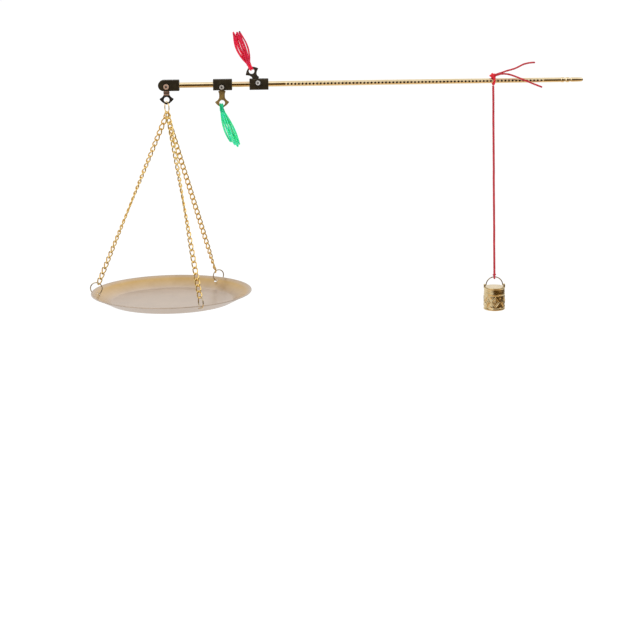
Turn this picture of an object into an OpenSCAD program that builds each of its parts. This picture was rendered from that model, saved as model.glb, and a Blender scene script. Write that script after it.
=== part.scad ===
// Steelyard: a small hand scale with a marked rod, two lifting points, a pan on
// three curb chains and a poise on a cord. Millimetres, Z up, X along the beam
// towards its tip, Y away from the marked front. The origin is the centre of the
// far fulcrum pin.

/* [Beam] */
// Distance from the end pin to the far fulcrum pin
far_arm = 68.5; // [66:0.5:72]
// Distance from the end pin to the near fulcrum pin
near_arm = 41.4; // [40:0.2:43]
// Length of the beam beyond the far fulcrum pin
beam_reach = 244.5; // [242:0.5:252]
// Diameter of the rod where it passes through the blocks
rod_d = 4.2; // [4:0.1:4.4]
// Diameter of the rod just before its turned tip
rod_tip_d = 3.6; // [3.4:0.1:4]
// Number of marks on the front, which go with the far fulcrum
front_marks = 71; // [11:10:71]
// Spacing of the front marks
front_pitch = 2.72; // [2.5:0.01:2.74]
// Number of marks on the back, which go with the near fulcrum
back_marks = 46; // [6:10:46]
// Spacing of the back marks
back_pitch = 4.1; // [3.9:0.05:4.1]

/* [Blocks] */
// Height of the three blocks
block_h = 8.2; // [8.2:0.1:9]
// Depth of the three blocks, front to back
block_depth = 6.6; // [6:0.1:8]
// Length of the two fulcrum blocks
block_len = 14.2; // [13.6:0.2:15]
// Length of the end block, with its round nose
end_block_len = 15.8; // [15.4:0.2:17]
// Depth of the end pin below the beam's axis
end_drop = 0.9; // [0.7:0.1:1.1]
// Depth of the near fulcrum pin below the beam's axis
near_drop = 1.8; // [1.6:0.1:1.9]
// Height of the far fulcrum pin above the beam's axis
far_rise = 1.1; // [1:0.1:1.3]

/* [Hangers] */
// Thickness of the hanger plates
plate_t = 1.3; // [1:0.1:1.3]
// Radius of the eye in each hanger plate
eye_r = 2.1; // [2:0.05:2.15]
// Lean of the far hanger at rest, against the end of its slot
far_lean = 28; // [20:1:28]

/* [Pan] */
// Radius of the pan at its rim
pan_r = 60.5; // [60:0.5:61]
// Radius of the pan's flat floor
floor_r = 46; // [45:0.5:47]
// Height of the rim above the underside of the floor
pan_depth = 7.6; // [7.4:0.1:7.8]
// Thickness of the pan's sheet
sheet_t = 0.5; // [0.4:0.05:0.6]
// Depth of the rim below the beam's axis
rim_drop = 156.5; // [155:0.5:158]

/* [Chains] */
// Number of links in each chain
link_count = 32; // [30:1:33]
// Diameter of the links' wire
link_wire = 0.85; // [0.8:0.05:0.85]
// Half width of a link, to the middle of its wire
link_half_w = 1.63; // [1.55:0.01:1.7]
// How far a link's wire rises out of its plane on each side
link_rise = 0.62; // [0.6:0.01:0.66]
// Diameter of the rings' wire
ring_wire = 0.85; // [0.8:0.05:0.85]
// Outer diameter of the rings
ring_d = 9.8; // [9.7:0.1:9.9]

/* [Poise] */
// Distance of the cord's hitch from the far fulcrum pin
poise_x = 176.7; // [100:0.1:200]
// Radius of the poise
poise_r = 8.3; // [8:0.1:8.6]
// Height of the poise, without its ears
poise_h = 17.8; // [17:0.1:19]
// Depth of the poise's top face below the beam's axis
poise_drop = 157.7; // [156:0.1:159]
// Diameter of the wire bail
bail_wire = 0.85; // [0.8:0.05:0.9]
// Radius of the bail, to the middle of its wire
bail_r = 6.35; // [6.2:0.05:6.4]

/* [Threads] */
// Diameter of the poise's cord
cord_d = 1.6; // [1.4:0.1:1.7]
// Diameter of the cord's two tails
tail_d = 1.3; // [1.2:0.1:1.4]
// Diameter of the tassels' thread
thread_d = 0.6; // [0.5:0.05:0.6]

/* [Hidden] */
$fn = 64;
WIRE_FN = 24;
link_gap = 0.1;
hook_gap = 0.3;

rod_r = rod_d / 2;
axis_z = -far_rise;
end_pin = [-far_arm, 0, axis_z - end_drop];
near_pin = [near_arm - far_arm, 0, axis_z - near_drop];

// Marks
first_mark = 22.4;
first_back_mark = 26.8;
mark_r = 0.6;
mark_depth = 0.35;

// Blocks and slots
corner_r = 0.7;
slot_w = plate_t + 0.3;
rod_butt = end_pin[0] + 4.3;
taper_start = 8;
tip_start = beam_reach - 17;
taper_steps = 12;
far_slot_half = 4.3;
near_slot_half = 4.45;
end_slot_past_pin = 4;

// Hollow rivets
rivet_bore = 0.65;
rivet_r = 1.05;
pivot_gap = 0.07;
flange_t = 0.45;
end_flange_r = 2.1;
fulcrum_flange_r = 1.8;

// Hanger plates
boss_r = 2;
neck_w = 2.05;
shoulder_w = 2.7;
slim_shoulder_w = 2.35;
wing_w = 5.3;
foot = 3.65;
pan_reach = 9.9;
near_reach = 11.9;
far_reach = 9.9;

// Rings
wire_r = ring_wire / 2;
ring_r = ring_d / 2 - wire_r;
ring_turn = 24;
ring_along = [sin(ring_turn), -cos(ring_turn), 0];
pan_eye = end_pin - [0, 0, pan_reach];
top_ring_at = pan_eye - [0, 0, eye_r - wire_r - hook_gap + ring_r];

// Pan
rim_z = axis_z - rim_drop;
bead_r = 0.45;
wall_slope = atan((pan_depth - sheet_t) / (pan_r - floor_r));
hole_r = 1.6;
hole_at = 56;
ring_rise = 1.85;

// The chains in the order left, front, back: direction of the hole seen from
// above, direction of the rim ring and how far its centre is from the hole, where
// the last link hooks on that ring, where the first link hooks on the top ring,
// and how far the chain twists on the way down and how late it does so
hole_dir = [175, 295, 55];
rim_ring_dir = [179, 295, 28];
rim_ring_off = [1.8, 1.8, 2.4];
hook_lean = [25, 22, 35];
top_hook = [0, 24, -24];
chain_twist = [-128, -180, -85];
twist_power = [1, 1, 3];
LINK_RINGS = 12;
LINK_SIDES = 6;

// Poise
pin_rise = 1.1;
ear_w = 1.25;
poise_top = axis_z - poise_drop;
bail_pin_z = poise_top + pin_rise;
bail_top_z = bail_pin_z + bail_r;

// Cord and hitch
wrap_r = cord_d / 2 - 0.05;
wrap_ring_r = rod_r + 0.02 + wrap_r;
wrap_pitch = 2 * wrap_r + 0.45;
wrap_sides = 6;
wrap_rings = 20;
hitch_knot_at = [-0.4, -0.3, 3.2];
tie_wire = 0.6;
tie_ring_r = bail_wire / 2 + 0.12 + tie_wire;
cord_lean = 1.5;
hang_x = poise_x + cord_lean;
cord_route = [
    [0, 0, -5.1], [0, 0, -6], [0.1, 0, -12], [0.2, 0, -20], [0.2, 0, -28],
    [0.3, 0, -36], [0.4, 0, -44], [0.5, 0, -52], [0.6, 0, -60], [0.7, 0, -68],
    [0.7, 0, -76], [0.8, 0, -84], [0.9, 0, -92], [1, 0, -100], [1.1, 0, -108],
    [1.2, 0, -116], [1.2, 0, -124], [1.3, 0, -132], [1.4, 0, -140],
    [1.5, 0, -149.5],
];
upper_tail_route = [
    [1.6, -0.6, 3.4], [2.9, -0.8, 4], [4.8, -1, 4.6], [6.8, -1.2, 5.2],
    [9, -1.4, 6], [11.4, -1.5, 6.7], [13.8, -1.5, 7.3], [16, -1.4, 8],
    [18.2, -1.3, 8.9], [20.4, -1.2, 10], [22.6, -1.1, 11], [24.8, -1, 11.6],
    [27, -0.9, 12], [29.2, -0.8, 12.2], [31.2, -0.8, 12.3],
];
lower_tail_route = [
    [1.2, -1.7, 2.8], [2.8, -2.5, 3.4], [5, -3.1, 4], [7.4, -3.2, 4.2],
    [10, -3.3, 4], [12.6, -3.3, 3.4], [15.2, -3.3, 2.5], [17.8, -3.3, 1.5],
    [20.4, -3.3, 0.4], [23, -3.3, -0.7], [25.6, -3.2, -1.8], [28.2, -3.1, -2.9],
    [30.8, -3, -4], [33.6, -2.9, -5.1], [36.4, -2.8, -6.2],
];

// Tassels: a skein of four loops out of a wrapped knot. Each loop's far end has
// its middle (sideways, front to back) and its distance from the knot
strand_ring_r = 1.37;
knot_r = 1.75;
knot_len = 3.4;
knot_bury = 1.2;
web_r = 1.95;
web_wrap_r = 0.8;
web_drop = eye_r + 0.77;
knot_drop = foot + 0.95;
tassel_off = -0.5;
loop_half_w = 1.15;
loop_mid = [[3.4, -0.1], [0.9, 1.7], [-3.4, 0.1], [-0.9, -1.7]];
near_loop_len = [26, 28, 22.5, 25];
far_loop_len = [23.6, 21.8, 22.4, 23];
near_fall = 21;
far_fall = 20;
near_shut = 115;
far_shut = 145;

BRONZE = [0.27, 0.21, 0.14];
BRASS = [0.58, 0.44, 0.22];
GOLD = [0.86, 0.70, 0.38];
SILVER = [0.80, 0.79, 0.76];
COPPER = [0.72, 0.55, 0.42];
PAN_METAL = [0.78, 0.71, 0.64];
RED = [0.75, 0.10, 0.15];
CRIMSON = [0.95, 0.07, 0.27];
GREEN = [0.10, 0.80, 0.50];

// Vectors
function unit(v) = v / norm(v);
function square_to(v, t) = unit(v - (v * t) * t);
function turned(v, axis, a) =
    v * cos(a) + cross(axis, v) * sin(a) + axis * (axis * v) * (1 - cos(a));
function bezier(a, b, c, n) = [
    for (i = [0 : n]) let (s = i / n)
        a * (1 - s) * (1 - s) + b * 2 * s * (1 - s) + c * s * s
];

// Tubes: the directions along a route, and frames carried along it without spin
function heading(p, i) = unit(p[min(i + 1, len(p) - 1)] - p[max(i - 1, 0)]);
function carried(p, start) = [
    for (i = 0, n = square_to(start, heading(p, 0));
         i < len(p);
         n = square_to(n, heading(p, min(i + 1, len(p) - 1))), i = i + 1) n
];

module open_tube(p, r, sides, start) {
    n = carried(p, start);
    points = [
        for (i = [0 : len(p) - 1]) for (j = [0 : sides - 1])
            let (a = 360 * j / sides, b = cross(heading(p, i), n[i]))
                p[i] + r * (n[i] * cos(a) + b * sin(a))
    ];
    last = (len(p) - 1) * sides;
    walls = [
        for (i = [0 : len(p) - 2]) for (j = [0 : sides - 1])
            let (k = (j + 1) % sides, a = i * sides, b = a + sides)
                each [[a + j, b + j, b + k], [a + j, b + k, a + k]]
    ];
    start_cap = [for (j = [1 : sides - 2]) [0, j, j + 1]];
    end_cap = [for (j = [1 : sides - 2]) [last, last + j + 1, last + j]];
    polyhedron(points, concat(walls, start_cap, end_cap));
}

module ring(r, wire, fn = 48) {
    rotate_extrude($fn = fn)
        translate([r, 0])
            circle(r = wire, $fn = WIRE_FN);
}

// A ring standing on edge in the upright plane that runs in direction a
module standing_ring(at, a, r = ring_r, wire = wire_r) {
    translate(at)
        rotate([90, 0, a])
            ring(r, wire);
}

// Beam: the rod's radius at a station, which falls faster towards the tip
function rod_radius(x) = let (s = max(0, (x - taper_start) / (tip_start - taper_start)))
    rod_r - (rod_r - rod_tip_d / 2) * pow(s, 1.2);

module rod_form() {
    end = beam_reach;
    tip = tip_start;
    r = rod_tip_d / 2;
    taper = [
        for (i = [0 : taper_steps])
            let (x = taper_start + (tip_start - taper_start) * i / taper_steps)
                [rod_radius(x), x]
    ];
    rotate([0, 90, 0])
        rotate_extrude()
            polygon(concat([[0, rod_butt], [rod_r, rod_butt]], taper, [
                [r + 0.15, tip + 0.5], [r + 0.15, tip + 2.4], [r - 0.25, tip + 3],
                [r - 0.25, tip + 3.6], [r + 0.15, tip + 4.2], [r + 0.15, tip + 6.2],
                [r - 0.35, tip + 6.9], [r - 0.35, tip + 7.6], [r, tip + 8.4],
                [r - 0.1, tip + 10.6], [r - 0.3, end - 1.4], [r - 0.5, end - 0.6],
                [r - 0.9, end - 0.15], [0, end],
            ]));
}

// A row of small pointed punch marks along one side of the rod
module punch_marks(first, pitch, count, side) {
    for (i = [0 : count - 1]) {
        x = first + pitch * i;
        translate([x, side * (rod_radius(x) - mark_depth), axis_z])
            rotate([-90 * side, 0, 0])
                cylinder(r1 = 0.12, r2 = mark_r + 0.1, h = mark_depth + 0.08, $fn = 16);
    }
}

module rivet_hole(at) {
    translate([at[0], block_depth, at[2]])
        rotate([90, 0, 0])
            cylinder(r = rivet_r, h = 2 * block_depth);
}

// The slot that a fulcrum hanger swings in: half its length, the pin, and
// whether it opens upwards (1) or downwards (-1)
module fulcrum_slot(at, half, up) {
    deep = boss_r + 0.3;
    long = block_h + deep;
    translate([at[0] - half, -slot_w / 2, up > 0 ? at[2] - deep : at[2] + deep - long])
        cube([2 * half, slot_w, long]);
}

module fulcrum_cuts() {
    fulcrum_slot([0, 0, 0], far_slot_half, 1);
    fulcrum_slot(near_pin, near_slot_half, -1);
    rivet_hole([0, 0, 0]);
    rivet_hole(near_pin);
}

module beam_rod() {
    color(GOLD)
        difference() {
            translate([0, 0, axis_z])
                rod_form();
            fulcrum_cuts();
            punch_marks(first_mark, front_pitch, front_marks, -1);
            punch_marks(first_back_mark, back_pitch, back_marks, 1);
        }
}

// A bar along X with the blocks' rounded section, between two stations
module block_bar(x0, x1) {
    h = block_h / 2 - corner_r;
    d = block_depth / 2 - corner_r;
    translate([x0, 0, axis_z])
        rotate([90, 0, 90])
            linear_extrude(x1 - x0)
                union() {
                    square([2 * d, block_h], center = true);
                    square([block_depth, 2 * h], center = true);
                    for (sy = [-1, 1]) for (sz = [-1, 1])
                        translate([sy * d, sz * h])
                            circle(r = corner_r, $fn = 24);
                }
}

module rod_seat() {
    translate([rod_butt, 0, axis_z])
        rotate([0, 90, 0])
            cylinder(r = rod_r, h = taper_start - rod_butt);
}

module end_block() {
    nose = -far_arm - 6.1;
    right = nose + end_block_len;
    half = block_h / 2;
    color(BRONZE)
        difference() {
            intersection() {
                block_bar(nose - 1, right);
                union() {
                    translate([nose + half, block_depth, axis_z])
                        rotate([90, 0, 0])
                            cylinder(r = half, h = 2 * block_depth, $fn = 96);
                    translate([nose + half, -block_depth, axis_z - half])
                        cube([end_block_len, 2 * block_depth, block_h]);
                }
            }
            translate([nose - 1, -slot_w / 2, axis_z - block_h])
                cube([end_pin[0] + end_slot_past_pin - nose + 1, slot_w, 2 * block_h]);
            rivet_hole(end_pin);
            rod_seat();
        }
}

module near_block() {
    color(BRONZE)
        difference() {
            block_bar(near_pin[0] - 6.5, near_pin[0] - 6.5 + block_len);
            fulcrum_cuts();
            rod_seat();
        }
}

module far_block() {
    color(BRONZE)
        difference() {
            block_bar(-6.4, block_len - 6.4);
            fulcrum_cuts();
            rod_seat();
        }
}

// An eyelet through both cheeks of a block, with a rolled flange at each end
module rivet(at, flange_r) {
    half = block_depth / 2;
    end = half + flange_t;
    lip = half + 0.2;
    top = flange_r - 0.3;
    translate(at)
        rotate([90, 0, 0])
            rotate_extrude()
                polygon([
                    [rivet_bore, -end], [top, -end], [flange_r, -lip], [flange_r, -half],
                    [rivet_r, -half], [rivet_r, half],
                    [flange_r, half], [flange_r, lip], [top, end], [rivet_bore, end],
                ]);
}

module end_rivet() {
    color(COPPER)
        rivet(end_pin, end_flange_r);
}

module near_rivet() {
    color(SILVER)
        rivet(near_pin, fulcrum_flange_r);
}

module far_rivet() {
    color(SILVER)
        rivet([0, 0, 0], fulcrum_flange_r);
}

// Hangers: a flat spade plate that hangs down from its pin at the origin. reach
// is from the pin to the eye, shoulder from the pin to the step in the neck, and
// wide half the step's width
function flank(reach, shoulder, wide) = concat(
    [for (a = [0 : 12 : 132]) boss_r * [sin(a), cos(a)]],
    [[1.3, 1 - shoulder], [wide, 0.2 - shoulder]],
    bezier([wide, -shoulder - 0.5], [neck_w - 0.2, -shoulder - 1.2],
        [neck_w + 0.1, 3.6 - reach], 5),
    bezier([neck_w + 0.2, 3.3 - reach], [2.35, 1.9 - reach], [wing_w, 0.75 - reach], 6),
    bezier([wing_w, 0.5 - reach], [3.4, -2.3 - reach], [0, -foot - reach], 7)
);

module hanger_plate(reach, shoulder, wide = shoulder_w) {
    right = flank(reach, shoulder, wide);
    left = [for (i = [len(right) - 2 : -1 : 1]) [-right[i][0], right[i][1]]];
    rotate([90, 0, 0])
        linear_extrude(plate_t, center = true)
            difference() {
                polygon(concat(right, left));
                circle(r = rivet_r + pivot_gap);
                translate([0, -reach])
                    circle(r = eye_r);
            }
}

module pan_hanger() {
    color(BRONZE)
        translate(end_pin)
            hanger_plate(pan_reach, 4.4, slim_shoulder_w);
}

module near_hanger() {
    color(BRASS)
        translate(near_pin)
            hanger_plate(near_reach, 3.3);
}

module far_hanger() {
    color(BRONZE)
        rotate([0, 180 - far_lean, 0])
            hanger_plate(far_reach, 3.3);
}

// Tassels, drawn hanging down from the eye at the origin and leaning by fall.
// The skein is one thread: down one strand, round, up the next, and across to
// the next loop inside the knot. The strands part below the knot and draw
// together again towards their ends, the more so the larger shut is
function strand_foot(k) = strand_ring_r * [cos(45 * k), sin(45 * k)];
function strand_side(k) = (k % 2 == 0) == (k < 4) ? 1 : -1;
function strand_end(k) = loop_mid[floor(k / 2)] + [strand_side(k) * loop_half_w, 0];
function strand(k, long, shut) = let (a = strand_foot(k), b = strand_end(k)) [
    for (i = [0 : 8]) let (s = i / 8, p = a + (b - a) * sin(shut * s))
        [p[0], p[1], -long * s]
];
function bend(p, q, depth) = let (m = (p + q) / 2, h = (q - p) / 2) [
    for (i = [1 : 3]) let (t = 45 * i)
        m - h * cos(t) + [0, 0, depth * norm(h) * sin(t)]
];
function reversed(p) = [for (i = [len(p) - 1 : -1 : 0]) p[i]];
function loop_path(i, long, shut) = let (
    down = strand(2 * i, long, shut),
    up = reversed(strand(2 * i + 1, long, shut))
) concat(
    down, bend(down[8], up[0], -1), up,
    i < 3 ? bend(up[8], strand(2 * i + 2, long, shut)[0], 1) : []
);
function skein(longs, shut) = [for (i = [0 : 3]) each loop_path(i, longs[i], shut)];

// Least distance between parts of a route that are not neighbours along it
function least_gap(p, apart) = min([
    for (i = [0 : len(p) - 1]) for (j = [i + apart : 1 : len(p) - 1]) norm(p[i] - p[j])
]);

module tassel_knot(fall) {
    w = knot_r;
    translate([tassel_off, 0, -web_drop])
        rotate([0, 90, 0])
            ring(web_r, web_wrap_r);
    translate([tassel_off, 0, -knot_drop])
        rotate([0, -fall, 0])
            rotate_extrude($fn = 32)
                polygon([
                    [0, 0], [w - 0.5, 0], [w, -0.5], [w, -1.3], [w - 0.15, -1.5],
                    [w, -1.7], [w, -2.9], [w - 0.5, -knot_len], [0, -knot_len],
                ]);
}

module tassel_skein(fall, longs, shut) {
    path = skein(longs, shut);
    echo("least gap of the skein to itself", least_gap(path, 4) - thread_d);
    translate([tassel_off, 0, -knot_drop])
        rotate([0, -fall, 0])
            translate([0, 0, knot_bury - knot_len])
                open_tube(path, thread_d / 2, 6, [0, 1, 0]);
}

module near_knot() {
    color(GREEN)
        translate(near_pin - [0, 0, near_reach])
            tassel_knot(near_fall);
}

module near_tassel() {
    color(GREEN)
        translate(near_pin - [0, 0, near_reach])
            tassel_skein(near_fall, near_loop_len, near_shut);
}

module on_far_hanger() {
    rotate([0, 180 - far_lean, 0])
        translate([0, 0, -far_reach])
            children();
}

module far_knot() {
    color(CRIMSON)
        on_far_hanger()
            tassel_knot(far_fall - far_lean);
}

module far_tassel() {
    color(CRIMSON)
        on_far_hanger()
            tassel_skein(far_fall - far_lean, far_loop_len, far_shut);
}

// Rings
module top_ring() {
    color(GOLD)
        standing_ring(top_ring_at, ring_turn - 90);
}

// A direction that leans from upright towards plan direction a
function leaning(a, lean) = [sin(lean) * cos(a), sin(lean) * sin(a), cos(lean)];
function rim_ring_at(i) = let (
    h = hole_at * [cos(hole_dir[i]), sin(hole_dir[i])],
    e = rim_ring_off[i] * [cos(rim_ring_dir[i]), sin(rim_ring_dir[i])]
) [end_pin[0] + h[0] + e[0], h[1] + e[1], rim_z + ring_rise];

module rim_ring(i) {
    color(GOLD)
        standing_ring(rim_ring_at(i), rim_ring_dir[i]);
}

module rim_ring_left() {
    rim_ring(0);
}

module rim_ring_front() {
    rim_ring(1);
}

module rim_ring_back() {
    rim_ring(2);
}

// Chains: link i of a curb chain, each twisted out of its own plane so that the
// next one lies flat against it
function chain_top(i) =
    top_ring_at + ring_r * (ring_along * sin(top_hook[i]) - [0, 0, cos(top_hook[i])]);
function chain_end(i) = rim_ring_at(i) + ring_r * leaning(rim_ring_dir[i], -hook_lean[i]);
function chain_dir(i) = unit(chain_end(i) - chain_top(i));

// Half length of a link, so that link_count links just span the two rings
function link_half(i) = let (
    span = norm(chain_end(i) - chain_top(i)),
    hooked = link_wire + link_gap,
    ends = link_wire + ring_wire + 2 * hook_gap
) (span + hooked * (link_count - 1) + ends) / (2 * link_count);

function link_point(t, a, along, side, out) =
    along * (a * cos(t)) + side * (link_half_w * sin(t)) + out * (link_rise * sin(2 * t));

module link(at, a, along, out) {
    side = cross(out, along);
    p = [
        for (i = [0 : LINK_RINGS - 1])
            link_point(360 * i / LINK_RINGS, a, along, side, out)
    ];
    n = LINK_RINGS;
    points = [
        for (i = [0 : n - 1])
            let (t = unit(p[(i + 1) % n] - p[(i + n - 1) % n]))
            let (u = square_to(out, t), v = cross(t, u))
            for (j = [0 : LINK_SIDES - 1]) let (b = 360 * (j + 0.5) / LINK_SIDES)
                at + p[i] + link_wire / 2 * (u * cos(b) + v * sin(b))
    ];
    faces = [
        for (i = [0 : n - 1]) for (j = [0 : LINK_SIDES - 1])
            let (a = i * LINK_SIDES, b = ((i + 1) % n) * LINK_SIDES)
            let (k = (j + 1) % LINK_SIDES)
                each [[a + j, b + j, b + k], [a + j, b + k, a + k]]
    ];
    polyhedron(points, faces);
}

module chain(i) {
    along = chain_dir(i);
    a = link_half(i);
    first = a - (link_wire + ring_wire) / 2 - hook_gap;
    pitch = 2 * a - link_wire - link_gap;
    flat = square_to(ring_along, along);
    color(GOLD)
        for (k = [0 : link_count - 1])
            link(chain_top(i) + along * (first + pitch * k), a, along,
                turned(flat, along,
                    chain_twist[i] * pow(k / (link_count - 1), twist_power[i])));
}

module chain_left() {
    chain(0);
}

module chain_front() {
    chain(1);
}

module chain_back() {
    chain(2);
}

// Pan: a thin spun dish with a beaded rim and three punched holes
module pan() {
    bottom = rim_z - pan_depth;
    knee = 1.6;
    color(PAN_METAL)
        difference() {
            translate([end_pin[0], 0, 0])
                rotate_extrude($fn = 128)
                    union() {
                        polygon([
                            [0, bottom], [floor_r, bottom], [floor_r + knee, bottom + 0.35],
                            [pan_r, rim_z - sheet_t], [pan_r, rim_z],
                            [floor_r + knee - 0.3, bottom + sheet_t + 0.5],
                            [floor_r - 0.5, bottom + sheet_t], [0, bottom + sheet_t],
                        ]);
                        translate([pan_r, rim_z - sheet_t / 2])
                            circle(r = bead_r, $fn = 20);
                    }
            for (a = hole_dir)
                translate([end_pin[0], 0, rim_z - (pan_r - hole_at) * tan(wall_slope)])
                    rotate([0, 0, a])
                        translate([hole_at, 0, 0])
                            rotate([0, -wall_slope, 0])
                                cylinder(r = hole_r, h = 6, center = true, $fn = 32);
        }
}

// The cord's hitch: one turn round the rod, whose ends both go into the knot on top
function turn_round() = [
    for (i = [0 : wrap_rings])
        let (turn = i / wrap_rings, a = 360 * turn)
            [(turn - 0.5) * wrap_pitch, wrap_ring_r * sin(a), wrap_ring_r * cos(a)]
];

module cord_hitch() {
    path = turn_round();
    echo("least gap of the turn to itself", least_gap(path, wrap_rings / 2) - 2 * wrap_r);
    color(RED) {
        translate([poise_x + 0.1, 0, axis_z])
            open_tube(path, wrap_r, wrap_sides, [0, 0, 1]);
        translate([poise_x, 0, 0] + hitch_knot_at)
            rotate_extrude($fn = 40)
                polygon([
                    [0, -2.1], [1.5, -2.1], [2.2, -1.5], [2.1, -0.8], [2.4, -0.1],
                    [2.15, 0.6], [2.15, 1.2], [1.4, 2.1], [0, 2.1],
                ]);
    }
}

function placed(route) = [for (p = route) [poise_x + p[0], p[1], p[2]]];

module cord_tail_upper() {
    color(RED)
        open_tube(placed(upper_tail_route), tail_d / 2, 8, [0, 1, 0]);
}

module cord_tail_lower() {
    color(RED)
        open_tube(placed(lower_tail_route), tail_d / 2, 8, [0, 1, 0]);
}

module poise_cord() {
    color(RED)
        open_tube(placed(cord_route), cord_d / 2, 8, [0, 1, 0]);
}

module bail_tie() {
    color(RED)
        translate([hang_x, 0, bail_top_z])
            rotate([0, 90, 0])
                ring(tie_ring_r, tie_wire, 32);
}

module poise_bail() {
    r = bail_wire / 2;
    pin = poise_r - 0.3 - bail_r;
    color(GOLD)
        translate([hang_x, 0, bail_pin_z]) {
            rotate([90, 0, 0])
                rotate_extrude(angle = 180, $fn = 96)
                    translate([bail_r, 0])
                        circle(r = r, $fn = WIRE_FN);
            for (s = [-1, 1])
                translate([s * bail_r, 0, 0]) {
                    sphere(r = r, $fn = WIRE_FN);
                    rotate([0, s * 90, 0])
                        cylinder(r = r, h = pin, $fn = WIRE_FN);
                }
        }
}

module poise_body() {
    r = poise_r;
    h = poise_h;
    color(GOLD)
        translate([hang_x, 0, poise_top])
            difference() {
                union() {
                    rotate_extrude($fn = 96)
                        polygon([
                            [0, 0], [r - 0.3, 0], [r, -0.3], [r, -1], [r - 0.25, -1.3],
                            [r - 0.25, -5.6], [r - 0.1, -5.9], [r - 0.1, -h + 1.6],
                            [r, -h + 1.4], [r, -h + 0.7], [r - 0.8, -h], [0, -h],
                        ]);
                    for (s = [-1, 1])
                        translate([s * (r - 0.12 - ear_w / 2), 0, 0]) {
                            translate([-ear_w / 2, -1.1, -0.5])
                                cube([ear_w, 2.2, pin_rise + 0.5]);
                            translate([-ear_w / 2, 0, pin_rise])
                                rotate([0, 90, 0])
                                    cylinder(r = 1.1, h = ear_w, $fn = 32);
                        }
                }
                translate([-r - 1, 0, pin_rise])
                    rotate([0, 90, 0])
                        cylinder(r = bail_wire / 2 + 0.08, h = 2 * r + 2, $fn = 32);
            }
}

beam_rod();
end_block();
near_block();
far_block();
end_rivet();
near_rivet();
far_rivet();
pan_hanger();
top_ring();
chain_left();
chain_front();
chain_back();
rim_ring_left();
rim_ring_front();
rim_ring_back();
pan();
near_hanger();
near_knot();
near_tassel();
far_hanger();
far_knot();
far_tassel();
cord_hitch();
cord_tail_upper();
cord_tail_lower();
poise_cord();
bail_tie();
poise_bail();
poise_body();
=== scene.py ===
import bpy
import bmesh
import numpy as np
from math import acos, atan, atan2, cos, hypot, pi, radians, sin, tan
from mathutils import Matrix


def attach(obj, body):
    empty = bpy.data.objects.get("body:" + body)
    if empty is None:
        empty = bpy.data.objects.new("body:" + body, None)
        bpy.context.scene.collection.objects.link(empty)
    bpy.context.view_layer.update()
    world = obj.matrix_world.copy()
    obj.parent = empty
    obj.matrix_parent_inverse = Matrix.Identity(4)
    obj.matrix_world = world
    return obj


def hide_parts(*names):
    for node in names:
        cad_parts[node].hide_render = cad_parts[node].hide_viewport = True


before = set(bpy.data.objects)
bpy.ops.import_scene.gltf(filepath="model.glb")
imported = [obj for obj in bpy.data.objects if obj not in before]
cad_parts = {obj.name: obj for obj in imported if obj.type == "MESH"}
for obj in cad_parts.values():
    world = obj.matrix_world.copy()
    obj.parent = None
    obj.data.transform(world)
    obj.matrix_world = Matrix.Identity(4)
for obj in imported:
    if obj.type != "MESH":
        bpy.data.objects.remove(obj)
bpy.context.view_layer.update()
MM = 0.001


def vec(x, y, z):
    return np.array([x, y, z], float)


def sind(degrees):
    return sin(radians(degrees))


def cosd(degrees):
    return cos(radians(degrees))


# Main sizes in millimetres, as in the solid model
AXIS_Z = -1.1
ROD_R = 2.1
END_PIN = vec(-68.5, 0, -2.0)
NEAR_PIN = vec(-27.1, 0, -2.9)
FAR_PIN = np.zeros(3)
BLOCK_H = 8.2
BLOCK_D = 6.6
SLOT_HALF = 0.8
SLOT_PAST_PIN = 2.3
SEAT_FROM = -64.2
# From a hanger's pin down to its eye, and how far the far hanger leans from upright
PAN_REACH, NEAR_REACH, FAR_REACH = 9.9, 11.9, 9.9
FAR_LEAN = 28
EYE_R = 2.1
RING_R = 4.475
WIRE_R = 0.425
RIM_Z = -157.6
# The hitch, the poise under it, and the bail's pins
POISE_X = 176.7
HANG_X = 178.2
POISE_TOP = AXIS_Z - 157.7
BAIL_PIN = 1.1
BAIL_R = 6.35


def unit(v):
    return v / np.linalg.norm(v)


def square_to(v, t):
    return unit(v - np.dot(v, t) * t)


def turned(v, axis, degrees):
    c = cosd(degrees)
    return v * c + np.cross(axis, v) * sind(degrees) + axis * np.dot(axis, v) * (1 - c)


def rotated_y(v, degrees):
    c, d = cosd(degrees), sind(degrees)
    return np.stack([v[:, 0] * c + v[:, 2] * d, v[:, 1], -v[:, 0] * d + v[:, 2] * c], 1)


def round_angles(n):
    return np.linspace(0, 2 * pi, n, endpoint=False)


def new_object(name, data):
    obj = bpy.data.objects.new(name, data)
    bpy.context.scene.collection.objects.link(obj)
    return obj


# Camera: place in metres, degrees down, of roll and to the right, and focal length in picture widths
CAMERA_AT = (0.0094, -1.2, 0.0942)
CAMERA_TURN = (8.42, -0.68, 1.72)
SENSOR = 36
FOCAL_WIDTHS = 1603.6 / 640


def set_camera():
    data = bpy.data.cameras.new("camera")
    data.sensor_width = SENSOR
    data.lens = FOCAL_WIDTHS * SENSOR
    data.shift_y = -0.2
    data.clip_start = 0.05
    data.clip_end = 20
    cam = new_object("camera", data)
    pitch, roll, yaw = CAMERA_TURN
    forward = vec(sind(yaw) * cosd(pitch), cosd(yaw) * cosd(pitch), -sind(pitch))
    level = vec(cosd(yaw), -sind(yaw), 0)
    upward = np.cross(level, forward)
    place = np.eye(4)
    place[:3, 0] = level * cosd(roll) + upward * sind(roll)
    place[:3, 1] = upward * cosd(roll) - level * sind(roll)
    place[:3, 2] = -forward
    place[:3, 3] = CAMERA_AT
    cam.matrix_world = Matrix(place.tolist())
    bpy.context.scene.camera = cam


set_camera()


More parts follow.
